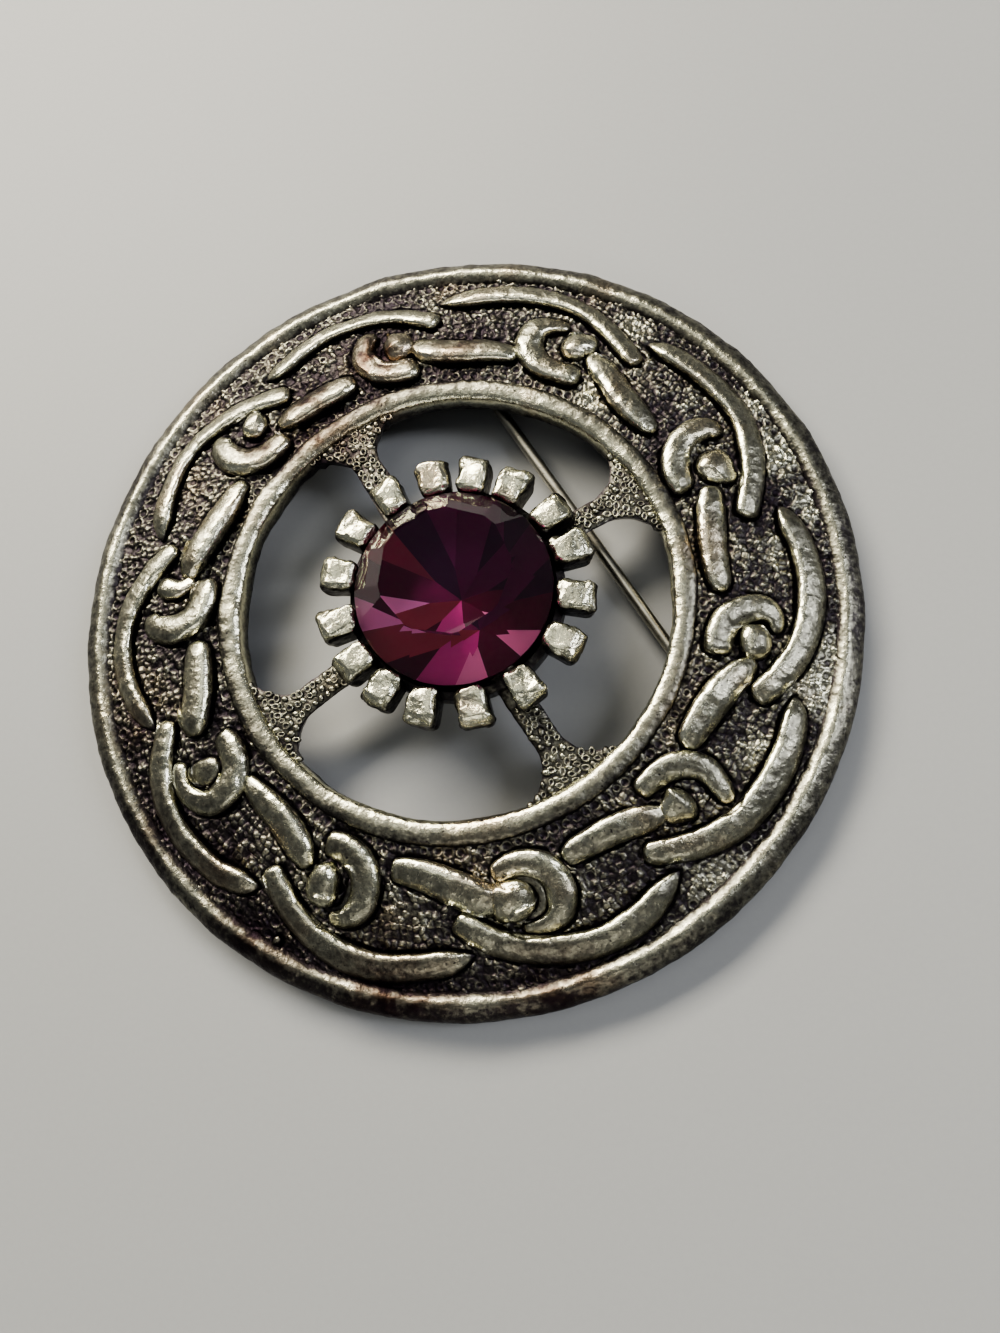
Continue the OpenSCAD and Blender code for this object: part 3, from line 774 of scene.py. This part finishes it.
def beadSpokes(name, spots):
    models = [modelBead("domeBead", beads["dome"]), modelBead("craterBead", beads["crater"])]
    points, faces, wearAndPaintedLight, total = [], [], [], 0
    for x, y, z, size, height, crater in spots:
        bead, beadFaces = models[crater]
        turn = random.uniform(0, 2 * math.pi)
        squash = random.uniform(*beads["squash"])
        shaped = np.column_stack([
            size * squash * (bead[:, 0] * math.cos(turn) - bead[:, 1] * math.sin(turn)),
            size / squash * (bead[:, 0] * math.sin(turn) + bead[:, 1] * math.cos(turn)),
            height * bead[:, 2]])
        points.append(shaped + [x, y, z])
        faces.append(beadFaces + total)
        wearAndPaintedLight.append(beads["footWear"] + np.clip(bead[:, 2], 0, 1) * random.uniform(*beads["topWear"]))
        total += len(bead)
    mesh = bpy.data.meshes.new(name)
    mesh.from_pydata(np.concatenate(points).tolist(), [], np.concatenate(faces).tolist())
    piece = bpy.data.objects.new(name, mesh)
    bpy.context.collection.objects.link(piece)
    finishCasting(piece, beads, np.concatenate(wearAndPaintedLight))


def castSpokes():
    blades = []
    for angle, width in zip(spokes["angles"], spokes["width"]):
        deselectAll()
        bpy.ops.mesh.primitive_grid_add(x_subdivisions=spokes["rows"], y_subdivisions=spokes["columns"],
                                        size=2)
        blade = bpy.context.object
        blade.name = "spoke"
        across = readPoints(blade)[:, 1]
        share = (readPoints(blade)[:, 0] + 1) / 2
        side, middle = filletMiddle(width)
        along = spokes["rootR"] + (middle + spokes["fillet"] - spokes["rootR"]) * share ** spokes["finer"]
        half = np.array([spokeHalfWidth(x, width) for x in along])
        # the last row lies inside the collar
        last = share > 0.999
        along[last] = spokes["tipR"]
        half[last] = side + spokes["tipWide"]
        top = np.array([spokeTop(x) for x in along]) - spokes["crown"] * np.abs(across) ** 4
        writePoints(blade, np.column_stack([along, half * across, top]))
        applyModifier(blade, "SOLIDIFY", thickness=spokes["thick"], offset=-1)
        blade.data.transform(Matrix.Rotation(math.radians(angle), 4, "Z"))
        blades.append(blade)
    piece = joinPieces(blades, "spokes")
    mergeAndTurnOut(piece)
    points = readPoints(piece)
    points[:, 2] = np.maximum(points[:, 2], spokes["bottom"])
    writePoints(piece, points)
    facing = smoothStep(*spokes["facing"], np.abs(readNormals(piece)[:, 2]))
    finishCasting(piece, spokes, spokes["sideWear"] + spokes["faceWear"] * facing)


groundSpots = stippleSpots()
ringedSpots = craterSpots()
for sheet in stipple["sheets"]:
    stippleSheet(*sheet, groundSpots, ringedSpots)
beadSpokes("spokeStipple", spokeBeadSpots())
castSpokes()
print("stippled ground and spokes are done")

# Two plain pads under the shell, which the hinge bracket and the catch are soldered to
pads = {
    # direction of the pin, distance of its line from the middle, places along it
    "turn": 122.3, "lineR": 10.75, "along": [-15.5, 15.2],
    "size": (2.6, 3.2, 0.9), "underside": 2.23, "edge": 0.12, "edgeSteps": 2, "wearAndPaintedLight": 0.3, "smooth": 40,
}


def castPads():
    turn = math.radians(pads["turn"])
    middleZ = pads["underside"] + pads["size"][2] / 2
    blocks = []
    for along in pads["along"]:
        x = pads["lineR"] * math.sin(turn) + along * math.cos(turn)
        y = along * math.sin(turn) - pads["lineR"] * math.cos(turn)
        deselectAll()
        bpy.ops.mesh.primitive_cube_add(
            size=1, location=(x, y, middleZ), rotation=(0, 0, turn), scale=pads["size"])
        block = bpy.context.object
        bpy.ops.object.transform_apply(location=True, rotation=True, scale=True)
        applyModifier(block, "BEVEL", width=pads["edge"], segments=pads["edgeSteps"])
        blocks.append(block)
    piece = joinPieces(blocks, "finding_pads")
    mergeAndTurnOut(piece)
    finishCasting(piece, pads, np.full(len(piece.data.vertices), pads["wearAndPaintedLight"]))


castPads()

# The claw setting: a turned cup, with sixteen blunt claws bent out from its wall
setting = {
    "centre": ((stoneLow.x + stoneHigh.x) / 2 / mm, (stoneLow.y + stoneHigh.y) / 2 / mm),
    "clawAngles": [100.8, 81.4, 61.4, 37.3, 18.3, -5.4, -27.8, -55.1, -80.3, -104.3, -125.4, -144.5,
                   -165.5, 170.2, 146.8, 123.5],
    # a claw: from and to, widths there, heights, how far its root stands in, its round nose and its edges
    "innerR": 6.75, "outerR": 9.6, "innerWidth": 1.85, "outerWidth": 2.3, "top": castHigh.z / mm - 0.03,
    "root": 4.2, "undercut": 0.45, "nose": 1.2, "noseSteps": 6, "edge": 0.5, "edgeSteps": 4,
    "edgeAngle": 40, "finer": 3,
    # rubbing at the sides and on top, with a painted highlight on the faces that look up, by how far a face
    # looks up and by height
    "sideWear": 0.24, "topWear": 0.54, "facing": (0.05, 0.85), "wearFrom": (5.4, 6.4),
    "hammer": [(1.2, 0.24), (0.5, 0.13), (0.22, 0.045)], "seed": 12.6, "hammerFrom": (4.4, 5.2),
    "smooth": 45,
}
cup = {
    # radius, height
    "section": [(0.0, 0.5), (2.4, 0.5), (6.9, 3.4), (7.3, 4.0), (7.3, 5.2), (6.75, 5.3), (6.6, 4.0),
                (2.4, 1.0), (0.0, 0.95)],
    "sides": 96, "wearAndPaintedLight": 0.2, "smooth": 40,
}


def modelClaw():
    deselectAll()
    bpy.ops.mesh.primitive_cube_add(size=1)
    claw = bpy.context.object
    points = readPoints(claw)
    inner = points[:, 0] < 0
    low = points[:, 2] < 0
    points[:, 1] *= np.where(inner, setting["innerWidth"], setting["outerWidth"])
    points[:, 0] = np.where(inner, setting["innerR"], setting["outerR"])
    points[~inner & low, 0] -= setting["undercut"]
    points[:, 2] = np.where(low, setting["root"], setting["top"])
    writePoints(claw, points)
    bpy.ops.object.mode_set(mode="EDIT")
    bpy.ops.mesh.select_all(action="DESELECT")
    bpy.ops.object.mode_set(mode="OBJECT")
    nose = ~inner & ~low
    for edge in claw.data.edges:
        edge.select = bool(nose[list(edge.vertices)].all())
    bpy.ops.object.mode_set(mode="EDIT")
    bpy.ops.mesh.select_mode(type="EDGE")
    bpy.ops.mesh.bevel(offset=setting["nose"], segments=setting["noseSteps"], affect="EDGES")
    bpy.ops.mesh.select_mode(type="VERT")
    bpy.ops.object.mode_set(mode="OBJECT")
    applyModifier(claw, "BEVEL", width=setting["edge"], segments=setting["edgeSteps"], limit_method="ANGLE",
                  angle_limit=math.radians(setting["edgeAngle"]))
    makeActive(claw)
    bpy.ops.object.mode_set(mode="EDIT")
    bpy.ops.mesh.select_all(action="SELECT")
    bpy.ops.mesh.subdivide(number_cuts=setting["finer"])
    bpy.ops.object.mode_set(mode="OBJECT")
    return claw


def castSetting():
    model = modelClaw()
    claws = []
    for angle in setting["clawAngles"]:
        claw = model.copy()
        claw.data = model.data.copy()
        bpy.context.collection.objects.link(claw)
        claw.data.transform(Matrix.Rotation(math.radians(angle), 4, "Z"))
        claw.data.transform(Matrix.Translation((*setting["centre"], 0)))
        claws.append(claw)
    bpy.data.objects.remove(model)
    piece = joinPieces(claws, "claws")
    mergeAndTurnOut(piece)
    height = readPoints(piece)[:, 2]
    facing = smoothStep(*setting["facing"], readNormals(piece)[:, 2])
    topWear = setting["topWear"] * facing * smoothStep(*setting["wearFrom"], height)
    finishCasting(piece, setting, setting["sideWear"] + topWear, height)


def turnCup():
    piece = turnPiece("stone_cup", cup["section"], cup["sides"], setting["centre"])
    finishCasting(piece, cup, np.full(len(piece.data.vertices), cup["wearAndPaintedLight"]))


castSetting()
turnCup()
print("setting is done")

# The cut stone
stone = {
    "radius": (stoneHigh.x - stoneLow.x) / 2 / mm, "bottom": stoneLow.z / mm, "top": stoneHigh.z / mm,
    "sides": 96, "girdle": 6.45, "girdleHalf": 0.12,
    # tiers of facets: how many, first facet's direction, slope from level, distance from the axis
    # where the facet crosses the girdle, and 1 for the crown or -1 for the back
    "tiers": [(8, 32.0, 41.3, 6.6, 1), (8, 9.5, 42.7, 6.66, 1), (8, 9.5, 35.8, 6.55, -1),
              (8, 32.0, 35.1, 6.52, -1)],
    "tableTilt": 7.0, "tableTowards": 112.0, "tableRadius": 3.5, "backLean": 3.0, "leanTowards": -60.0,
    "glass": "#e4b4d0", "index": 1.56, "rubSize": 0.12, "rubTurn": 0.9, "rubStretch": (1, 0.08, 1),
    "rubRough": (0.55, 0.75, 0.0, 0.05),
    # tones of painted reflections on the foil, from pink glints to dark shade
    "paintedReflections": {"pink": "#ffbce2", "magenta": "#d868b0", "violet": "#64305a", "rose": "#b06064",
              "dusk": "#864654", "wine": "#5c223e", "dark": "#442a46"},
    "foilMottle": 0.8, "foilRough": (0.3, 0.7, 0.42, 0.5),
    # the painted reflection on the foil behind each facet of the back, from the first direction round, and
    # round the girdle
    "backPaintedReflections": ["dark", "violet", "dark", "violet", "violet", "dark", "dusk", "wine",
                  "pink", "rose", "wine", "magenta", "pink", "wine", "pink", "wine"],
    "backFirst": 9.5, "backStep": 22.5, "girdlePaintedReflection": "wine",
    # a facet that looks up less than this belongs to the back, or else to the girdle
    "backBelow": -0.3, "girdleBelow": 0.5,
}


# Deep purple cut glass: clear and tinted, with fine rubs that blur the gloss of its facets
def cutGlass():
    material, tree, place = newMaterial("deep_purple_cut_glass")
    stretched = addNode(tree, "Mapping", {
        "Vector": place, "Rotation": (0, 0, stone["rubTurn"]), "Scale": stone["rubStretch"]})
    rubs = addNode(tree, "TexNoise", {
        "Vector": stretched, "Scale": 1 / (stone["rubSize"] * mm), "Detail": 2.0})
    roughness = addNode(tree, "MapRange", [rubs, *stone["rubRough"]])
    shader = addNode(tree, "BsdfPrincipled", {
        "Base Color": colour(stone["glass"]), "Roughness": roughness, "IOR": stone["index"],
        "Transmission Weight": 1.0})
    addNode(tree, "OutputMaterial", [shader])
    return material


# The worn mirror foil behind the back facets, in painted reflections: each has the tone that its facet
# throws to the eye
def paintedReflectionFoil(name, hexText):
    material, tree, place = newMaterial(name)
    mottle = addNode(tree, "TexNoise", {
        "Vector": place, "Scale": 1 / (stone["foilMottle"] * mm), "Detail": 3.0})
    roughness = addNode(tree, "MapRange", [mottle, *stone["foilRough"]])
    shader = addNode(tree, "BsdfPrincipled", {
        "Base Color": colour(hexText), "Metallic": 1.0, "Roughness": roughness})
    addNode(tree, "OutputMaterial", [shader])
    return material


# Direction of a facet that slopes by a tilt and looks along a turn, up or down
def facetNormal(tilt, turn, side):
    return Vector((math.sin(tilt) * math.cos(turn), math.sin(tilt) * math.sin(turn), side * math.cos(tilt)))


# Takes away what stands outside a facet
def grindFacet(place, outward):
    bpy.ops.mesh.select_all(action="SELECT")
    bpy.ops.mesh.bisect(plane_co=place, plane_no=outward, use_fill=True, clear_outer=True)


def cutStone():
    deselectAll()
    height = stone["top"] - stone["bottom"]
    bpy.ops.mesh.primitive_cylinder_add(
        vertices=stone["sides"], radius=stone["radius"], depth=height,
        location=(0, 0, stone["bottom"] + height / 2))
    piece = bpy.context.object
    piece.name = "stone_glass"
    bpy.ops.object.transform_apply(location=True, rotation=True, scale=True)
    towards = math.radians(stone["leanTowards"])
    lean = Matrix.Rotation(math.radians(stone["backLean"]), 3, (math.sin(towards), -math.cos(towards), 0))
    tableTilt = math.radians(stone["tableTilt"])
    tableTop = stone["top"] - stone["tableRadius"] * math.tan(tableTilt)
    bpy.ops.object.mode_set(mode="EDIT")
    grindFacet((0, 0, tableTop), facetNormal(tableTilt, math.radians(stone["tableTowards"]), 1))
    for count, first, slope, girdleR, side in stone["tiers"]:
        crossing = stone["girdle"] + side * stone["girdleHalf"]
        for k in range(count):
            direction = first + k * 360 / count
            outward = facetNormal(math.radians(slope), math.radians(direction), side)
            grindFacet((*polarPoint(direction, girdleR), crossing), lean @ outward if side < 0 else outward)
    bpy.ops.object.mode_set(mode="OBJECT")
    mergeAndTurnOut(piece)
    piece.data.transform(Matrix.Translation((*setting["centre"], 0)))
    piece.data.transform(Matrix.Scale(mm, 4))
    piece.data.materials.append(cutGlass())
    for name, hexText in stone["paintedReflections"].items():
        piece.data.materials.append(paintedReflectionFoil(name + "_foil_painted_reflection", hexText))
    paintedReflectionNames = list(stone["paintedReflections"])
    # each back facet, and the girdle, gets the painted reflection charted for it
    for face in piece.data.polygons:
        if face.normal.z < stone["backBelow"]:
            bearing = math.degrees(math.atan2(face.normal.y, face.normal.x))
            place = round((bearing - stone["backFirst"]) / stone["backStep"]) % len(stone["backPaintedReflections"])
            face.material_index = 1 + paintedReflectionNames.index(stone["backPaintedReflections"][place])
        elif face.normal.z < stone["girdleBelow"]:
            face.material_index = 1 + paintedReflectionNames.index(stone["girdlePaintedReflection"])
    print(f"{piece.name}: {len(piece.data.polygons)} facets")
    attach(piece, "brooch")
    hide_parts("stone")


cutStone()
print("stone is cut")

# The pin and its findings, in drawn steel wire and pressed plated sheet, slightly dulled
steel = {
    "turn": pads["turn"], "lineSize": 0.07, "lineStretch": (0.06, 1, 1), "lineLimits": (0.3, 0.7),
    "lineBump": (0.4, 0.01), "blotchSize": 1.4, "dulled": "#8b8676",
    # colour, least and greatest roughness, and the nodes that have it
    "metals": {"drawn_steel_wire": ("#dedbcb", 0.26, 0.38, ["pin_stem"]),
               "pressed_plated_sheet": ("#8f8b80", 0.3, 0.5, ["hinge_bracket", "catch"])},
}


# Fine lines along the wire give a soft glint, and dull blotches lie over them
def drawnSteel(name, hexText, roughLow, roughHigh):
    material, tree, place = newMaterial(name)
    along = addNode(tree, "Mapping", {
        "Vector": place, "Rotation": (0, 0, -math.radians(steel["turn"])), "Scale": steel["lineStretch"]})
    lines = addNode(tree, "TexNoise", {
        "Vector": along, "Scale": 1 / (steel["lineSize"] * mm), "Detail": 3.0})
    blotch = addNode(tree, "TexNoise", {
        "Vector": place, "Scale": 1 / (steel["blotchSize"] * mm), "Detail": 3.0})
    tone = addNode(tree, "Mix", {"Factor": blotch, "A": colour(hexText), "B": colour(steel["dulled"])},
                   data_type="RGBA")
    roughness = addNode(tree, "MapRange", [lines, *steel["lineLimits"], roughLow, roughHigh])
    strength, depth = steel["lineBump"]
    bump = addNode(tree, "Bump", {"Strength": strength, "Distance": depth * mm, "Height": lines})
    shader = addNode(tree, "BsdfPrincipled", {
        "Base Color": tone, "Metallic": 1.0, "Roughness": roughness, "Normal": bump})
    addNode(tree, "OutputMaterial", [shader])
    return material


for name, (hexText, roughLow, roughHigh, nodes) in steel["metals"].items():
    metal = drawnSteel(name, hexText, roughLow, roughHigh)
    for node in nodes:
        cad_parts[node].data.materials.clear()
        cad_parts[node].data.materials.append(metal)
print("pin and findings have their steel")

# A plain pale table under soft studio lights
studio = {
    "floorSize": 1.2, "paper": ("#a0a2a1", "#9c9e9d"), "paperGrain": 0.4, "paperRough": 0.6,
    "room": "#c9ccd2", "roomLight": 0.25,
    # name, place in metres, size in metres, watts, warmth
    "lights": [("keySoftbox", (-0.215, 0.33, 0.308), (0.42, 0.14), 5.2, "#fff6e6"),
               ("overheadPanel", (-0.046, 0.079, 0.492), (0.3, 0.18), 0.22, "#fffdf6"),
               ("frontPanel", (0.05, -0.46, 0.3), (0.4, 0.12), 0.5, "#fffaf0"),
               ("rightPanel", (0.42, 0.05, 0.36), (0.1, 0.3), 1.4, "#f4f5ff")],
    "camera": (12.14, -20.17, 67.95), "lookAt": (3.05, -4.17, 1.7), "lens": 27.0, "sensor": 36.0,
}


def studioFloor():
    material, tree, place = newMaterial("pale_table_paper")
    grain = addNode(tree, "TexNoise", {
        "Vector": place, "Scale": 1 / (studio["paperGrain"] * mm), "Detail": 3.0})
    light, dark = (colour(hexText) for hexText in studio["paper"])
    tone = addNode(tree, "Mix", {"Factor": grain, "A": light, "B": dark}, data_type="RGBA")
    shader = addNode(tree, "BsdfPrincipled", {"Base Color": tone, "Roughness": studio["paperRough"]})
    addNode(tree, "OutputMaterial", [shader])
    deselectAll()
    bpy.ops.mesh.primitive_plane_add(size=studio["floorSize"], location=(0, 0, 0))
    floor = bpy.context.object
    floor.name = "floor"
    floor.data.materials.append(material)


def studioLights():
    for name, place, size, watts, warmth in studio["lights"]:
        deselectAll()
        bpy.ops.object.light_add(type="AREA", location=place)
        light = bpy.context.object
        light.name = name
        light.data.shape = "RECTANGLE"
        light.data.size, light.data.size_y = size
        light.data.energy = watts
        light.data.color = colour(warmth)[:3]
        light.rotation_euler = (-Vector(place)).to_track_quat("-Z", "Y").to_euler()
    world = bpy.data.worlds.new("dimRoom")
    world.use_nodes = True
    world.node_tree.nodes["Background"].inputs["Color"].default_value = colour(studio["room"])
    world.node_tree.nodes["Background"].inputs["Strength"].default_value = studio["roomLight"]
    bpy.context.scene.world = world


def studioCamera():
    place = Vector(studio["camera"]) * mm
    forward = (Vector(studio["lookAt"]) * mm - place).normalized()
    right = forward.cross(Vector((0, 1, 0))).normalized()
    up = right.cross(forward)
    deselectAll()
    bpy.ops.object.camera_add(location=place)
    camera = bpy.context.object
    camera.matrix_world = Matrix.Translation(place) @ Matrix((right, up, -forward)).transposed().to_4x4()
    camera.data.lens = studio["lens"]
    camera.data.sensor_width = studio["sensor"]
    camera.data.clip_start = mm
    bpy.context.scene.camera = camera


studioFloor()
studioLights()
studioCamera()
bpy.context.scene.view_settings.look = "AgX - Medium High Contrast"
print("studio is set")
